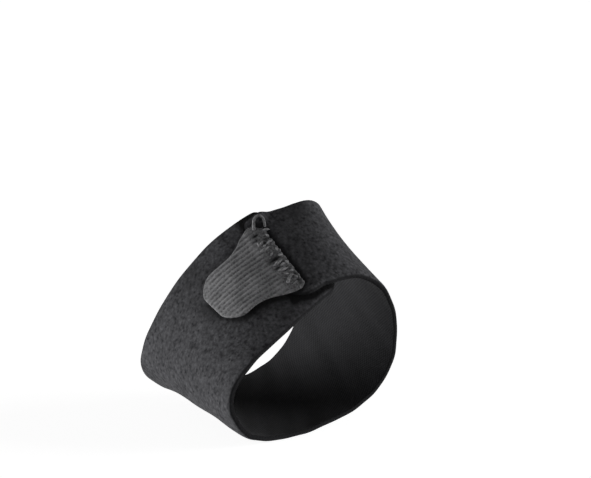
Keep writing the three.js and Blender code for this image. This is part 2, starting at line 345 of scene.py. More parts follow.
def from_table(rows, column, at):
    """Reads a column against the first one by cubic pieces that are level at the first and last
    row and elsewhere run along the chord between a row's neighbours."""
    table = np.array(rows)
    x, y = table[:, 0], table[:, column]
    slope = np.zeros(len(x))
    slope[1:-1] = (y[2:] - y[:-2]) / (x[2:] - x[:-2])
    at = np.clip(at, x[0], x[-1])
    k = np.clip(np.searchsorted(x, at, side="right") - 1, 0, len(x) - 2)
    span = x[k + 1] - x[k]
    f = (at - x[k]) / span
    rise, entry, leave = y[k + 1] - y[k], slope[k] * span, slope[k + 1] * span
    return y[k] + f * entry + f**2 * (3 * rise - 2 * entry - leave) + f**3 * (entry + leave - 2 * rise)


def bell(*places):
    """A bell shape: 1 in its middle, falling to 1/e where one of the places is 1."""
    return np.exp(-sum(place**2 for place in places))


def corner_inset(distance, radius):
    """How far a round corner holds an edge back: the radius less the circle's half chord."""
    left = np.maximum(radius - distance, 0)
    return radius - np.sqrt(np.maximum(radius**2 - left**2, 0))


def roll_over(distance, depth, reach):
    """How far a face sinks near an edge: a quarter of an ellipse, depth high at the edge and level
    at its reach."""
    left = 1 - np.clip(distance / reach, 0, 1)
    return depth * (1 - np.sqrt(1 - left**2))


def closed_spline(places, t):
    """A closed curve that is pulled towards its places: each point mixes four places in turn by
    the weights of a uniform cubic B-spline. t counts from 0 to 1 once round."""
    walked = np.mod(t, 1) * len(places)
    first = np.floor(walked).astype(int)
    f = (walked - first)[..., None]
    weights = ((1 - f) ** 3, 3 * f**3 - 6 * f**2 + 4, -3 * f**3 + 3 * f**2 + 3 * f + 1, f**3)
    return sum(w * places[(first + k - 1) % len(places)] for k, w in enumerate(weights)) / 6


def edge_stations(start, end, step, radius=0.0):
    """Places from start to end: close together near both ends, where an edge is rolled and a
    corner of this radius turns, and a step apart between them."""
    near = np.array(EDGE_ROWS) * MM
    turn = radius * (1 - np.cos(np.linspace(0, math.pi / 2, 13)))
    near = np.unique(np.concatenate([near, turn[turn > near[-1] + 0.3 * MM]]))
    middle = np.linspace(start + near[-1], end - near[-1], max(2, round((end - start - 2 * near[-1]) / step)))
    return np.concatenate([start + near[:-1], middle, end - near[-2::-1]])


class Hollow:
    """The surface that the sleeve lies on, and everything's place on it.

    around is the distance from the ridge towards the outer side, measured halfway along the sleeve.
    share goes from 0 at the rear edge to 1 at the front edge, on a straight line between the two.
    out is the distance from the surface along its normal.
    """

    def __init__(self, sizes):
        axis = (sizes.rear_height + sizes.front_height) / 4
        self.rear = self.edge_places(REAR_EDGE, sizes.length, sizes.rear_width, sizes.rear_height, axis)
        self.front = self.edge_places(FRONT_EDGE, sizes.length, sizes.front_width, sizes.front_height, axis)
        self.turns = np.linspace(0, 1, LOOP_STEPS + 1)
        middle = closed_spline((self.rear + self.front) / 2, self.turns)
        steps = np.linalg.norm(np.diff(middle, axis=0), axis=1)
        self.walked = np.concatenate([[0], np.cumsum(steps)])
        self.girth = self.walked[-1]

    def edge_places(self, rows, length, width, height, axis):
        """The table's shares as places along, across and up from the hollow's axis."""
        across, up, along = np.array(rows).T
        return np.stack([along * length / 2, across * width / 2, up * height - axis], axis=-1)

    def point(self, around, share, out):
        """Mixes the two edges by share, then moves along the cross product of the direction round
        the sleeve and the direction to the front. The same slow swells ride on every layer."""
        t = np.interp(np.mod(around, self.girth), self.walked, self.turns)
        share = share[..., None]

        def mix(u):
            return closed_spline(self.rear, u) * (1 - share) + closed_spline(self.front, u) * share

        forward = closed_spline(self.front, t) - closed_spline(self.rear, t)
        normal = np.cross(mix(t + NUDGE) - mix(t - NUDGE), forward)
        normal /= np.linalg.norm(normal, axis=-1, keepdims=True)
        return mix(t) + normal * (out + self.swell(t, np.mod(around, self.girth), share[..., 0]))[..., None]

    def swell(self, t, around, share):
        """Sines that close on themselves round the sleeve, and bell shaped bulges."""
        sines = sum(
            height * MM * np.sin(2 * math.pi * (waves * t + across * share) + phase)
            for height, waves, across, phase in SWELLS
        )
        return sines + MM * self.bumps(BULGES, around, share)

    def bumps(self, rows, around, share):
        """The sum of a table's bell shapes, each row with its place, its two reaches and its height."""
        return sum(
            height * bell(self.short_way(around - at * MM) / (long * MM), (share - place) / wide)
            for at, place, long, wide, height in rows
        )

    def short_way(self, around):
        """The shorter of the two ways round."""
        return np.mod(around + self.girth / 2, self.girth) - self.girth / 2

    def width(self, around):
        """Distance between the two edges."""
        t = np.interp(np.mod(around, self.girth), self.walked, self.turns)
        return np.linalg.norm(closed_spline(self.front, t) - closed_spline(self.rear, t), axis=-1)


class Layers:
    """Where each layer of the closure begins and ends, from the sizes of strip and tab."""

    def __init__(self, context):
        self.strip = context.scene.sleeve_strip
        self.tab = context.scene.sleeve_tab
        self.hollow = Hollow(self.strip)
        self.start = self.strip.reach - self.strip.overlap
        self.end = self.hollow.girth + self.strip.reach
        self.seam = self.strip.reach - self.tab.sewn
        self.second = self.strip.thickness + self.strip.gap
        self.hook_top = self.second + self.tab.hooks

    def strip_under(self, around, share):
        """Level on the hollow, then a smooth step up onto the strip's own start. Beside the tab the
        front edge of the end stands off a little more, in a bell shaped lip."""
        top = self.hollow.girth + self.start - self.strip.gap
        back = (self.end - around) / self.strip.overlap
        lip = self.strip.lip * bell((back - 0.45) / 0.28) * smoothstep(0.80, 0.92, share)
        return self.second * smoothstep(top - self.strip.lift, top, around) + lip

    def strip_thickness(self, around, share):
        """The cloth's thickness, with smooth steps down to the part that the tab is sewn on."""
        seam = self.hollow.girth + self.seam + self.seam_shift(share)
        rear, front = TAB_OUTLINE[1][1], TAB_OUTLINE[1][2]
        beside = smoothstep(rear - 0.07, rear - 0.01, share) * smoothstep(front + 0.06, front, share)
        pressed = smoothstep(seam - self.strip.thickness, seam, around) * beside
        return self.strip.thickness + (self.strip.sewn - self.strip.thickness) * pressed

    def seam_shift(self, share):
        """The seam's slant: it crosses its mean place at six tenths of the width."""
        return self.tab.slant * (0.60 - share) / 0.55

    def tab_shift(self, around, share):
        """Carries the slant of the seam into the tab and lets it fade out over eight millimetres,
        with a ragged edge from two sines that fade out over three."""
        across = share * self.hollow.width(around) / MM
        ragged = 0.30 * MM * np.sin(2.1 * across) * np.sin(0.83 * across + 1.0)
        slant = self.seam_shift(share) * (1 - smoothstep(self.seam, self.seam + 8 * MM, around))
        return slant + ragged * (1 - smoothstep(self.seam, self.seam + 3 * MM, around))

    def painted_shade(self, around, share):
        """Painted shade, near 1 where the pile is coloured dark as if shaded: close to the tab's edge,
        fading out over a few millimetres and weaker at the rear, then a fainter and wider painted shadow
        round the free end, the patches of painted shade, and the painted shadow under the lip."""
        ground = np.mod(around, self.hollow.girth)
        seam, free = self.seam + self.seam_shift(share), self.seam + self.tab.length
        rear, front = self.tab_edges(np.clip(ground, seam, free))
        aside = np.maximum(share - front, rear - share) * self.hollow.width(around)
        beyond = np.maximum(seam - ground, ground - free)
        away = np.hypot(np.maximum(aside, 0), np.maximum(beyond, 0))
        strong = np.maximum(smoothstep(0.15, 0.50, share), smoothstep(seam + 2 * MM, seam, ground))
        close = (0.45 + 0.55 * strong) * (1 - smoothstep(0.3 * MM, 3.0 * MM, away))
        faint = 0.36 * (1 - smoothstep(0, 9 * MM, away))
        faint = faint * smoothstep(self.seam, self.seam + 9 * MM, ground)
        # Patches of painted shade.
        shade_patches = self.hollow.bumps(SHADE_PATCHES, around, share)
        return np.maximum(np.maximum(close, faint) + shade_patches, self.painted_lip_shadow(around, share))

    def painted_lip_shadow(self, around, share):
        """Painted shadow: above 1 on the strip's start where the front edge of its end hangs over it,
        fading out to the front and at both ends of the lip."""
        over = from_table(END_TAPER, 2, (self.strip.reach - around) / self.strip.overlap)
        near = 1 - smoothstep(0, 3.6 * MM, (share - over) * self.hollow.width(around))
        ends = smoothstep(0, 6 * MM, around)
        ends = ends * smoothstep(self.strip.reach + 3 * MM, self.strip.reach - 1 * MM, around)
        return 1.8 * near * ends

    def strip_edges(self, around):
        """The edges' shares of the width: the tapers, and the corners' insets."""
        width = self.hollow.width(around)
        back = self.end - around
        start = corner_inset(around - self.start, self.strip.start_corner) / width
        rear = from_table(END_TAPER, 1, back / self.strip.overlap) + start
        rear = rear + from_table(START_TAPER, 1, (around - self.start) / self.strip.overlap)
        rear = rear + corner_inset(back, self.strip.end_rear_corner) / width
        front = from_table(END_TAPER, 2, back / self.strip.overlap) - start
        return rear, front - corner_inset(back, self.strip.end_front_corner) / width

    def tab_edges(self, around):
        """The edges' shares of the width, with the corners of the free end."""
        along = (around - self.seam) / self.tab.length
        width = self.hollow.width(around)
        free = corner_inset(self.seam + self.tab.length - around, self.tab.corner) / width
        sewn = corner_inset(around - self.seam, self.tab.seam_corner) / width
        return from_table(TAB_OUTLINE, 1, along) + free, from_table(TAB_OUTLINE, 2, along) - free - sewn

    def tab_under(self, around):
        """On the sewn end first, then a smooth step to the top of the hooks."""
        on_end = self.second + self.strip.sewn + self.strip.gap
        on_hooks = self.hook_top + self.strip.gap
        step = smoothstep(self.strip.reach + self.strip.gap, self.strip.reach + self.tab.hook_margin, around)
        return on_end + (on_hooks - on_end) * step

    def sewn_share(self, around):
        """1 where the stitches have flattened the ribs, 0 on the free part of the tab."""
        return 1 - smoothstep(self.strip.reach - 2.6 * MM, self.strip.reach + 0.8 * MM, around)

    def rib_row(self, around, share):
        """Counts the ribs from the middle of the seam, with their lean to the rear."""
        axis = (TAB_OUTLINE[0][1] + TAB_OUTLINE[0][2]) / 2
        along = (around - self.seam) / self.tab.length
        lean = self.tab.rib_lean * along * (1 + 0.4 * along)
        return ((share - axis) * self.hollow.width(around) + lean) / self.tab.rib_pitch

    def rib_rise(self, around, share):
        """A rounded rib in each pitch: a raised cosine with its crest broadened, fading to a low
        remnant in the sewn part."""
        wave = 0.5 - 0.5 * np.cos(2 * math.pi * self.rib_row(around, share))
        return wave**0.75 * (1 - 0.85 * self.sewn_share(around))

    def tab_top(self, around, share):
        """Outer face of the tab: its thickness and the ribs, less the dents of the stitches, and
        crossed sines where it is sewn down and puckers."""
        ribs = self.tab.rib_height * self.rib_rise(around, share)
        a, b = around / MM, share * self.hollow.width(around) / MM
        pucker = np.sin(2.9 * b + 1.7 * np.sin(1.3 * a)) * np.sin(1.9 * a + 1.1 * np.sin(0.9 * b) + 0.6)
        ribs = ribs + 0.20 * MM * pucker * self.sewn_share(around)
        return self.tab_under(around) + self.tab.thickness + ribs - self.dents(around, share)

    def dents(self, around, share):
        """A bell shaped dent at each group of stitches."""
        width = self.hollow.width(around)
        return sum(
            depth * MM * bell((around - at * MM) / (long * MM), (share - place) * width / (wide * MM))
            for at, place, long, wide, depth in DENTS
        )


def grid_quads(rows, columns, first=0):
    """Four corners of each cell of a grid, turning from the row direction to the column direction."""
    i, j = np.meshgrid(np.arange(rows - 1), np.arange(columns - 1), indexing="ij")
    a = first + i * columns + j
    return np.stack([a, a + columns, a + columns + 1, a + 1], axis=-1).reshape(-1, 4)


def put_in_scene(name, points, quads, masks=None):
    """Makes a mesh object at the origin from arrays of points, quads and named values per point."""
    mesh = bpy.data.meshes.new(name)
    mesh.vertices.add(len(points))
    mesh.vertices.foreach_set("co", points.astype(np.float32).ravel())
    mesh.loops.add(quads.size)
    mesh.loops.foreach_set("vertex_index", quads.astype(np.int32).ravel())
    mesh.polygons.add(len(quads))
    mesh.polygons.foreach_set("loop_start", np.arange(0, quads.size, 4, dtype=np.int32))
    mesh.update(calc_edges=True)
    mesh.polygons.foreach_set("use_smooth", np.ones(len(quads), dtype=bool))
    for mask, values in (masks or {}).items():
        kind, field = ("FLOAT_VECTOR", "vector") if values.ndim == 2 else ("FLOAT", "value")
        layer = mesh.attributes.new(mask, kind, "POINT")
        layer.data.foreach_set(field, values.astype(np.float32).ravel())
    mesh.validate()
    thing = bpy.data.objects.new(name, mesh)
    bpy.context.scene.collection.objects.link(thing)
    return thing


def places_across(width, step):
    """Distances from the rear edge in each row of a grid: crowded at both edges, even between."""
    near = np.array(EDGE_COLUMNS) * MM
    even = np.linspace(0, 1, max(3, round(float(width.max()) / step)))
    inner = near[-1] + even[None, :] * (width[:, None] - 2 * near[-1])
    crowded = np.broadcast_to(near[:-1], (len(width), len(near) - 1))
    return np.concatenate([crowded, inner, width[:, None] - near[-2::-1]], axis=1)


def rim_wall(rows, columns):
    """Quads that join the rims of two grids of this size, the second counted on from the first."""
    count = rows * columns
    rim = np.concatenate([
        np.arange(columns),
        np.arange(1, rows) * columns + columns - 1,
        (rows - 1) * columns + np.arange(columns - 2, -1, -1),
        np.arange(rows - 2, 0, -1) * columns,
    ])
    following = np.roll(rim, -1)
    return np.stack([rim, rim + count, following + count, following], axis=-1)


def cloth_piece(name, layers, stations, edges, faces, step, rolls, masks, shift=None):
    """A closed piece of cloth: two grids of the same places, one for each face, joined by a wall
    round them. The rows are the stations, and step is the distance between the inner columns.
    faces gives both faces' distance from the hollow and masks further values at each place. rolls
    gives how far each face sinks near the rear edge, the front edge and the two ends, and shift
    how far each place moves round the sleeve."""
    rear, front = edges(stations)
    width = (front - rear) * layers.hollow.width(stations)
    across = places_across(width, step)
    around = np.broadcast_to(stations[:, None], across.shape)
    share = rear[:, None] + (front - rear)[:, None] * across / width[:, None]
    end = np.minimum(around - stations[0], stations[-1] - around)
    from_edge = np.minimum(np.minimum(across, width[:, None] - across), end)
    if shift:
        around = around + shift(around, share)
    under, over = faces(around, share)
    rise, fall = rolls(across, width[:, None] - across, end)
    rise = np.minimum(rise, 0.25 * (over - under))
    fall = np.minimum(fall, 0.55 * (over - under))
    points = [layers.hollow.point(around, share, out) for out in (under + rise, over - fall)]
    rows, columns = across.shape
    count = rows * columns
    inner, outer = grid_quads(rows, columns)[:, ::-1], grid_quads(rows, columns, count)
    quads = np.concatenate([inner, outer, rim_wall(rows, columns)])
    lay = np.stack([around, (share - 0.5) * layers.hollow.width(stations)[:, None], share], axis=-1)
    both = {
        "lay": np.concatenate([lay.reshape(-1, 3)] * 2),
        "inner_side": np.concatenate([np.ones(count), np.zeros(count)]),
        "from_edge": np.concatenate([from_edge.ravel()] * 2),
    }
    for mask, value in masks(around, share).items():
        both[mask] = np.concatenate([value.ravel()] * 2)
    return put_in_scene(name, np.concatenate([p.reshape(-1, 3) for p in points]), quads, both)


def even_roll(inner, outer):
    """The same roll at every edge: how far the inner and the outer face sink there."""
    def rolls(rear, front, end):
        from_edge = np.minimum(np.minimum(rear, front), end)
        return roll_over(from_edge, inner, 1.5 * inner), roll_over(from_edge, outer, 1.5 * outer)
    return rolls


def thread_tube(path, radius, sides=8):
    """A tube along a path: at each point a circle of the radius there, in the plane across the
    path, with a small cap of two shrinking circles at both ends. Returns its points, its quads,
    and at each point the distance along and the angle round it."""
    length = np.concatenate([[0], np.cumsum(np.linalg.norm(np.diff(path, axis=0), axis=1))])
    ahead = np.gradient(path, axis=0)
    ahead /= np.linalg.norm(ahead, axis=1, keepdims=True)
    upright = np.cross(ahead, np.array(ASLANT))
    upright /= np.linalg.norm(upright, axis=1, keepdims=True)
    aside = np.cross(ahead, upright)
    turn = np.linspace(0, 2 * math.pi, sides, endpoint=False)
    centres = np.concatenate([path[:1], path[:1], path, path[-1:], path[-1:]])
    for k, (reach, _) in enumerate(CAPS):
        centres[k] -= ahead[0] * radius[0] * reach
        centres[-1 - k] += ahead[-1] * radius[-1] * reach
    caps = np.array([size for _, size in CAPS])
    widths = np.concatenate([caps * radius[0], radius, caps[::-1] * radius[-1]])
    pick = np.clip(np.arange(len(centres)) - 2, 0, len(path) - 1)
    ring = np.cos(turn)[None, :, None] * upright[pick][:, None]
    ring = ring + np.sin(turn)[None, :, None] * aside[pick][:, None]
    points = centres[:, None] + ring * widths[:, None, None]
    rows = len(centres)
    i, j = np.meshgrid(np.arange(rows - 1), np.arange(sides), indexing="ij")
    a, b = i * sides + j, i * sides + (j + 1) % sides
    quads = np.stack([a, b, b + sides, a + sides], axis=-1).reshape(-1, 4)
    fan = np.arange(0, sides - 2, 2)
    close = np.stack([np.zeros_like(fan), fan + 3, fan + 2, fan + 1], axis=-1) % sides
    far = close[:, ::-1] + (rows - 1) * sides
    along = np.repeat(length[pick], sides)
    twist = np.tile(turn, rows)
    lay = np.stack([along, twist, np.zeros_like(twist)], axis=-1)
    return points.reshape(-1, 3), np.concatenate([quads, close, far]), lay


class Wire:
    """A number on its way through a finish. Sums and products on it add their Math nodes."""

    def __init__(self, finish, socket):
        self.finish = finish
        self.socket = socket

    def math(self, operation, *values):
        """The result of a Math node."""
        return self.finish.add("ShaderNodeMath", {"operation": operation}, dict(enumerate(values)))

    def __add__(self, other):
        return self.math("ADD", self, other)

    def __sub__(self, other):
        return self.math("SUBTRACT", self, other)

    def __rsub__(self, other):
        return self.math("SUBTRACT", other, self)

    def __mul__(self, other):
        return self.math("MULTIPLY", self, other)

    def __truediv__(self, other):
        return self.math("DIVIDE", self, other)

    def sine(self):
        return self.math("SINE", self)

    def kept(self):
        """Held between 0 and 1."""
        return self.math("MINIMUM", self.math("MAXIMUM", self, 0.0), 1.0)

    def ramp(self, low, high):
        """0 at low and 1 at high, held outside them."""
        return ((self - low) / (high - low)).kept()


class Finish:
    """A material or a sky made of nodes."""

    def __init__(self, name, kind="materials", shader="BSDF_PRINCIPLED"):
        self.material = getattr(bpy.data, kind).new(name)
        self.material.use_nodes = True
        self.tree = self.material.node_tree
        self.surface = next(n for n in self.tree.nodes if n.type == shader)

    def add(self, kind, settings=None, sockets=None, output=0):
        """Adds a node: its settings first, then the values or links of its sockets."""
        node = self.tree.nodes.new(kind)
        for setting, value in (settings or {}).items():
            setattr(node, setting, value)
        self.join(node, sockets or {})
        return Wire(self, node.outputs[output])

    def join(self, node, sockets):
        """Links each socket to a wire, or sets its value."""
        for socket, value in sockets.items():
            if isinstance(value, Wire):
                self.tree.links.new(value.socket, node.inputs[socket])
            else:
                node.inputs[socket].default_value = value

    def shade(self, **sockets):
        """Sets or links the sockets of the surface, named with _ for a space."""
        for name, value in sockets.items():
            self.join(self.surface, {name.replace("_", " ").title().replace("Ior", "IOR"): value})
        return self.material

    def place(self):
        """Coordinates on the piece, in metres."""
        return self.add("ShaderNodeTexCoord", output="Object")

    def noise(self, size, detail=2.0, roughness=0.5):
        """Cloudy noise from 0 to 1 with lumps of this size in metres."""
        sockets = {"Vector": self.place(), "Scale": 1 / size, "Detail": detail, "Roughness": roughness}
        return self.add("ShaderNodeTexNoise", {}, sockets)

    def specks(self, size):
        """0 at the middle of each irregular cell of this size in metres, more towards its border."""
        return self.add("ShaderNodeTexVoronoi", {}, {"Vector": self.place(), "Scale": 1 / size})

    def mask(self, name):
        """A value that the mesh holds at each point."""
        return self.add("ShaderNodeAttribute", {"attribute_name": name}, output="Fac")

    def lay(self):
        """Place on the cloth: round the sleeve, across the strip and share of the width."""
        return self.split(self.add("ShaderNodeAttribute", {"attribute_name": "lay"}, output="Vector"))

    def split(self, vector):
        """The three numbers of a vector."""
        parts = self.tree.nodes.new("ShaderNodeSeparateXYZ")
        self.join(parts, {0: vector})
        return [Wire(self, socket) for socket in parts.outputs]

    def mix(self, share, first, second):
        """A colour between two, by share."""
        ends = [c if isinstance(c, Wire) else (*c, 1) for c in (first, second)]
        return self.add("ShaderNodeMix", {"data_type": "RGBA"}, {0: share, 6: ends[0], 7: ends[1]}, output=2)

    def relief(self, height, depth, strength=1.0):
        """Bump of this depth in metres where height goes from 0 to 1."""
        return self.add("ShaderNodeBump", {}, {"Strength": strength, "Distance": depth, "Height": height})


def plush_finish(colours):
    """Plush on foam: tufts one to two millimetres wide, lying flat in clumps, with pinholes on the outer
    face, painted shade beside the tab, in patches and under the lip, fine knit on the inner side, and a dark
    cut edge."""
    finish = Finish("plush_on_foam")
    tufts = finish.noise(1.7 * MM, 3.0, 0.65)
    fibres = 1 - finish.specks(1.5 * MM) * 1.5
    matting = finish.noise(8 * MM, 2.0)
    pinholes = 1 - finish.specks(2.6 * MM).ramp(0.08, 0.26)
    light = (tufts * 1.5 + fibres * 0.30 + matting * 0.4 - pinholes * 0.35).ramp(0.62, 1.52)
    pile = finish.mix(light, colours.pile_deep, colours.pile)
    around, across, _ = finish.lay()
    wales = (around * (2 * math.pi / (1.6 * MM))).sine()
    loops = wales * (across * (2 * math.pi / (1.3 * MM))).sine() + (tufts - 0.5) * 1.2
    knit = finish.mix((loops * 0.5 + 0.5).kept(), tuple(c * 0.35 for c in colours.lining), colours.lining)
    inner_side = finish.mask("inner_side")
    face = finish.mix(inner_side.ramp(0.4, 0.6), pile, knit)
    # Painted shade: the mask darkens the pile towards a quarter of the deep pile colour, patchy with the
    # tufts.
    painted_shade_depth = finish.mask("painted_shade") * (tufts * 0.8 + 0.5)
    face = finish.mix((painted_shade_depth * 0.9).kept(), face, tuple(c * 0.25 for c in colours.pile_deep))
    cut = 1 - finish.mask("from_edge").ramp(0.1 * MM, 0.75 * MM)
    colour = finish.mix(cut * 0.9, face, colours.foam)
    height = tufts * 0.8 + fibres * 0.2 - pinholes * 0.2
    height = height * (1 - inner_side) + (loops * 0.15 + 0.5) * inner_side
    return finish.shade(
        base_color=colour,
        roughness=0.95,
        specular_ior_level=0.12,
        sheen_weight=0.02,
        sheen_roughness=0.6,
        normal=finish.relief(height, 0.45 * MM, 0.8),
    )


def webbing_finish(colours):
    """Ribbed webbing: light crests with the grain of the threads, grooves with a row of short dark
    dashes that shift from groove to groove, painted shade in the dents where stitches pull the tab
    down and towards the seam, and a slightly lighter cut edge."""
    finish = Finish("ribbed_webbing")
    around, _, _ = finish.lay()
    rib, row = finish.mask("rib"), finish.mask("row")
    jitter = finish.noise(2.6 * MM, 1.0)
    hollow = (row + 0.5).math("FLOOR", row + 0.5)
    dashes = ((around / (1.9 * MM) + hollow * 0.37 + jitter * 3.0) * (2 * math.pi)).sine() * 0.5 + 0.5
    dashes = dashes * (finish.noise(3.1 * MM, 1.0) * 1.6 + 0.2)
    threads = finish.noise(0.8 * MM, 2.0, 0.6)
    wear = finish.noise(5 * MM, 1.0) - 0.5
    sewn = finish.mask("sewn")
    grain = (threads - 0.5) * (sewn * 1.6 + 1.3) + wear
    crest = (0.66 - (1 - rib) * (dashes * 0.65 + 0.25) * 0.75 + grain - sewn * 0.14).kept()
    colour = finish.mix(crest, colours.groove, colours.rib)
    edge = 1 - finish.mask("from_edge").ramp(0.3 * MM, 0.9 * MM)
    colour = finish.mix(edge * 0.08, colour, colours.rib)
    holes = (1 - finish.specks(1.5 * MM).ramp(0.10, 0.34)) * sewn
    # Painted shade: a fifth darker at the seam than at the free end and dark in the stitches' dents, times
    # the needle holes.
    shade = (finish.mask("free") * 0.2 + 0.8).kept() * (1 - finish.mask("painted_dent_shade")) * (1 - holes * 0.55)
    colour = finish.mix(shade, tuple(c * 0.08 for c in colours.groove), colour)
    return finish.shade(
        base_color=colour,
        roughness=0.8,
        specular_ior_level=0.2,
        sheen_weight=0.08,
        sheen_roughness=0.5,
        normal=finish.relief(threads * 0.6 - (1 - rib) * dashes * 0.4 + 0.4, 0.25 * MM, 0.9),
    )


def thread_finish(colours):
    """Twisted thread: dark lines wind round it between its plies, with light lint on top. The loose
    ends are darker."""
    finish = Finish("twisted_thread")
    along, turn, _ = finish.lay()
    ply = (along * (2 * math.pi / (2.6 * MM)) + turn * 5).sine() * 0.5 + 0.5
    lint = finish.noise(0.9 * MM, 2.0).ramp(0.35, 0.65)
    light = (ply * 0.5 + lint * 0.7 - finish.mask("loose") * 0.45).kept()
    colour = finish.mix(light, tuple(c * 0.45 for c in colours.thread), colours.thread)
    return finish.shade(
        base_color=colour,
        roughness=0.65,
        specular_ior_level=0.3,
        normal=finish.relief(ply, 0.06 * MM, 0.8),
    )


def hook_finish(colours):
    """Moulded hooks: dark nylon, a little lighter and glossier at the tips."""
    finish = Finish("nylon_hooks")
    tips = finish.mask("tip")
    streaks = finish.noise(0.7 * MM, 2.0)
    worn = tuple(c * 3 for c in colours.hooks)
    colour = finish.mix((tips * 0.6 + streaks * 0.5).kept(), colours.hooks, worn)
    return finish.shade(
        base_color=colour,
        roughness=0.75 - tips * 0.3,
        specular_ior_level=0.4,
        normal=finish.relief(streaks, 0.08 * MM, 0.6),
    )


def floor_finish(studio):
    """Matt paper that gives off light of its own."""
    finish = Finish("pale_paper")
    grain = finish.noise(4 * MM, 2.0)
    return finish.shade(
        base_color=finish.mix(grain, tuple(c * 0.985 for c in studio.floor), studio.floor),
        roughness=0.9,
        specular_ior_level=0.1,
        emission_color=(1, 1, 1, 1),
        emission_strength=studio.glow,
    )


def tent_sky(studio):
    """A light tent: bright walls at eye level, dim above and below."""
    sky = Finish("light_tent", "worlds", "BACKGROUND")
    _, _, height = sky.split(sky.add("ShaderNodeTexCoord", output="Generated"))
    away = height.math("ABSOLUTE", height).ramp(0.10, 0.25)
    return sky.shade(color=sky.mix(away, (studio.walls,) * 3, (studio.dim,) * 3))


def dress(piece, material, node=None):
    """Gives a piece its finish and its place in the frame."""
    piece.data.materials.append(material)
    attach(piece, "root")
    if node:
        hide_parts(node)


class SLEEVE_OT_strip(bpy.types.Operator):
    """Build the plush strip"""

    bl_idname = "sleeve.strip"
    bl_label = "Plush strip"

    def execute(self, context):
        layers = Layers(context)
        strip = layers.strip
        corner = max(strip.start_corner, strip.end_front_corner)
        stations = edge_stations(layers.start, layers.end, strip.step, corner)

        def faces(around, share):
            under = layers.strip_under(around, share)
            return under, under + layers.strip_thickness(around, share)

        def rolls(rear, front, end):
            """The pile sinks deepest at the front edge; the lining is hardly rounded."""
            pile = roll_over(front, strip.front_roll, 2.4 * strip.front_roll)
            pile = pile + roll_over(rear, strip.rear_roll, 2 * strip.rear_roll)
            pile = pile + roll_over(end, 0.5 * MM, 1.0 * MM)
            return roll_over(np.minimum(np.minimum(rear, front), end), 0.2 * MM, 0.4 * MM), pile

        def masks(around, share):
            # Painted shade beside the tab, round its free end, in patches and under the lip.
            return {"painted_shade": layers.painted_shade(around, share)}

        piece = cloth_piece(
            "plush_strip", layers, stations, layers.strip_edges, faces, strip.step, rolls, masks
        )
        dress(piece, plush_finish(context.scene.sleeve_finish), "wrap_band")
        return {"FINISHED"}


class SLEEVE_OT_hooks(bpy.types.Operator):
    """Build the hook tape between the tab and the strip"""

    bl_idname = "sleeve.hooks"
    bl_label = "Hook tape"

    def execute(self, context):
        layers = Layers(context)
        tab, hollow = layers.tab, layers.hollow
        start = layers.strip.reach + tab.hook_margin
        end = layers.seam + tab.length - tab.hook_margin

        def edges(around):
            """The tab's edges, moved in by the margin and by the round corners."""
            rear, front = layers.tab_edges(around)
            corner = corner_inset(around - start, tab.hook_corner)
            corner = corner + corner_inset(end - around, tab.hook_corner)
            inset = (tab.hook_margin + corner) / hollow.width(around)
            return rear + inset, front - inset

        def tips(around, share):
            """Rows of domes, every other row moved by half a pitch."""
            row = around / tab.hook_pitch
            place = share * hollow.width(around) / tab.hook_pitch + 0.5 * np.mod(np.floor(row), 2)
            height = np.sin(math.pi * np.mod(row, 1)) * np.sin(math.pi * np.mod(place, 1))
            return np.clip(height, 0, 1) ** 1.5

        def faces(around, share):
            base = layers.hook_top - 0.45 * tab.hooks
            return base - 0.5 * tab.hooks * tips(around, share), np.full(around.shape, layers.hook_top)

        def masks(around, share):
            return {"tip": tips(around, share)}

        step = 0.3 * MM
        stations = edge_stations(start, end, step, tab.hook_corner)
        rolls = even_roll(0.1 * MM, 0.15 * MM)
        piece = cloth_piece("hook_tape", layers, stations, edges, faces, step, rolls, masks)
        dress(piece, hook_finish(context.scene.sleeve_finish), "hook_pad")
        return {"FINISHED"}


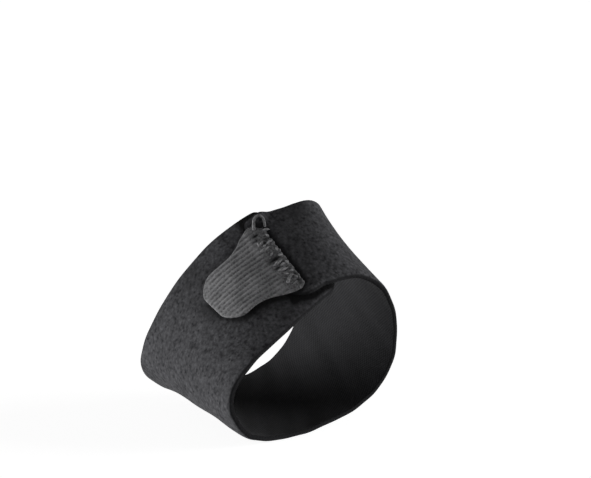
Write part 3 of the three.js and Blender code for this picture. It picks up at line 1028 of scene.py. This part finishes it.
class SLEEVE_OT_tab(bpy.types.Operator):
    """Build the ribbed tab and the stitches that hold it"""

    bl_idname = "sleeve.tab"
    bl_label = "Ribbed tab"

    def execute(self, context):
        layers = Layers(context)
        tab = layers.tab

        def faces(around, share):
            return layers.tab_under(around), layers.tab_top(around, share)

        def masks(around, share):
            return {
                "rib": layers.rib_rise(around, share) + 0.45 * layers.sewn_share(around),
                "row": layers.rib_row(around, share),
                # Painted shade for the webbing: the dents' depth, and the place along the tab from the seam.
                "painted_dent_shade": np.clip(layers.dents(around, share) / (0.38 * MM), 0, 1),
                "free": (around - layers.seam) / tab.length,
                "sewn": layers.sewn_share(around),
            }

        row_step, column_step = 0.35 * MM, 0.22 * MM
        stations = edge_stations(layers.seam, layers.seam + tab.length, row_step, tab.corner)
        rolls = even_roll(0.25 * tab.thickness, 0.35 * tab.thickness)
        piece = cloth_piece(
            "ribbed_tab", layers, stations, layers.tab_edges, faces, column_step, rolls, masks,
            layers.tab_shift,
        )
        dress(piece, webbing_finish(context.scene.sleeve_finish), "closure_tab")
        stitching = self.stitching(context, layers)
        return {"FINISHED"}

    def stitching(self, context, layers):
        """Threads on the sewn part. Each stitch is a low arch between its two ends, half sunk in
        the tab and thickest in its middle like a tuft of yarn."""
        tab, hollow = layers.tab, layers.hollow
        tubes = []
        f = np.linspace(0, 1, 15)
        arch = np.sin(math.pi * f)
        for start, end, thickness in STITCHES:
            around = (start[0] + (end[0] - start[0]) * f) * MM
            share = start[1] + (end[1] - start[1]) * f
            top = layers.tab_top(around, share)
            radius = thickness * MM * (0.20 + 0.50 * arch)
            out = 0.5 * top.max() + 0.5 * top + 0.20 * thickness * MM * arch - 0.55 * radius
            tubes.append(thread_tube(hollow.point(around, share, out), radius))
        for places in (LOOSE_LOOP, CURL):
            path = self.loose_end(layers, places)
            tubes.append(thread_tube(path, np.linspace(tab.loop, 0.7 * tab.loop, len(path)) / 2))
        counts = np.cumsum([0] + [len(points) for points, _, _ in tubes])
        loose = [np.full(len(tube[0]), float(k >= len(STITCHES))) for k, tube in enumerate(tubes)]
        piece = put_in_scene(
            "tab_stitching",
            np.concatenate([points for points, _, _ in tubes]),
            np.concatenate([quads + first for (_, quads, _), first in zip(tubes, counts)]),
            {"lay": np.concatenate([lay for _, _, lay in tubes]), "loose": np.concatenate(loose)},
        )
        dress(piece, thread_finish(context.scene.sleeve_finish))
        return piece

    def loose_end(self, layers, places):
        """Cubic pieces through the places, each pulled along the chord of its neighbours. It lies
        on the strip's end and climbs onto the tab where it crosses the tab's edge."""
        rows = np.array(places)
        count = len(rows)
        table = np.column_stack([np.arange(count) / (count - 1), rows])
        f = np.linspace(0, 1, 8 * count)
        around = from_table(table, 1, f) * MM
        share = from_table(table, 2, f)
        cloth = layers.strip_thickness(around + layers.hollow.girth, share)
        on_strip = layers.second + cloth + 0.4 * layers.tab.loop
        on_tab = layers.tab_top(around, share) + 0.2 * layers.tab.loop
        climb = smoothstep(-0.03, 0.015, share - layers.tab_edges(around)[0])
        return layers.hollow.point(around, share, on_strip + (on_tab - on_strip) * climb)


class SLEEVE_OT_studio(bpy.types.Operator):
    """Build the floor, the lights and the camera"""

    bl_idname = "sleeve.studio"
    bl_label = "Studio"

    def execute(self, context):
        studio = context.scene.sleeve_studio
        self.camera(context, studio)
        self.floor(context, studio)
        self.soft_sun(context, "key_light", studio.key, studio.key_azimuth, studio.key_elevation)
        self.soft_sun(context, "rim_light", studio.rim, studio.rim_azimuth, studio.rim_elevation)
        context.scene.world = tent_sky(studio)
        context.scene.view_settings.view_transform = "Standard"
        return {"FINISHED"}

    def direction(self, azimuth, elevation):
        """Unit vector out towards an azimuth, counted from the outer side, and an elevation."""
        return Vector((
            math.sin(azimuth) * math.cos(elevation),
            -math.cos(azimuth) * math.cos(elevation),
            math.sin(elevation),
        ))

    def camera(self, context, studio):
        """Looks at its aim from its azimuth and elevation, moved a little in its own plane."""
        back = self.direction(studio.azimuth, studio.elevation)
        right = Vector((0, 0, 1)).cross(back).normalized()
        above = back.cross(right)
        target = Vector(AIM) + right * studio.aside + above * studio.above
        data = bpy.data.cameras.new("photo_camera")
        data.lens = studio.lens
        data.clip_end = SIGHT
        eye = bpy.data.objects.new("photo_camera", data)
        eye.location = target + back * studio.distance
        eye.rotation_euler = back.to_track_quat("Z", "Y").to_euler()
        context.scene.collection.objects.link(eye)
        context.scene.camera = eye

    def floor(self, context, studio):
        """A wide level square just under the sleeve, on a grid that is finer in its middle."""
        reach = FLOOR_REACH * np.linspace(-1, 1, FLOOR_CELLS + 1) ** 3
        x, y = np.meshgrid(reach, reach, indexing="ij")
        low = CAD_BOX[0][2] - FLOOR_GAP
        points = np.stack([x, y, np.full(x.shape, low)], axis=-1).reshape(-1, 3)
        floor = put_in_scene("pale_floor", points, grid_quads(len(reach), len(reach)))
        floor.data.materials.append(floor_finish(studio))
        floor.visible_shadow = False
        floor.visible_diffuse = False

    def soft_sun(self, context, name, strength, azimuth, elevation):
        """A broad soft light from far away, the same all over the floor."""
        data = bpy.data.lights.new(name, "SUN")
        data.energy = strength
        data.angle = SUN_SPREAD
        lamp = bpy.data.objects.new(name, data)
        lamp.rotation_euler = self.direction(azimuth, elevation).to_track_quat("Z", "Y").to_euler()
        context.scene.collection.objects.link(lamp)


class SLEEVE_PT_panel(bpy.types.Panel):
    """Lists the steps that build the sleeve"""

    bl_idname = "SLEEVE_PT_panel"
    bl_label = "Arch Support Sleeve"
    bl_space_type = "VIEW_3D"
    bl_region_type = "UI"
    bl_category = "Sleeve"

    def draw(self, context):
        for step in STEPS:
            self.layout.operator(step.bl_idname)


STEPS = (SLEEVE_OT_strip, SLEEVE_OT_hooks, SLEEVE_OT_tab, SLEEVE_OT_studio)
CLASSES = (StripSizes, TabSizes, FinishColours, StudioSizes, *STEPS, SLEEVE_PT_panel)
GROUPS = {
    "sleeve_strip": StripSizes,
    "sleeve_tab": TabSizes,
    "sleeve_finish": FinishColours,
    "sleeve_studio": StudioSizes,
}


def register():
    for kind in CLASSES:
        bpy.utils.register_class(kind)
    for name, kind in GROUPS.items():
        setattr(bpy.types.Scene, name, PointerProperty(type=kind))


def unregister():
    for name in GROUPS:
        delattr(bpy.types.Scene, name)
    for kind in reversed(CLASSES):
        bpy.utils.unregister_class(kind)


def main():
    """Registers the classes, then builds every piece and the studio."""
    register()
    bpy.ops.sleeve.strip()
    bpy.ops.sleeve.hooks()
    bpy.ops.sleeve.tab()
    bpy.ops.sleeve.studio()


if __name__ == "__main__":
    main()
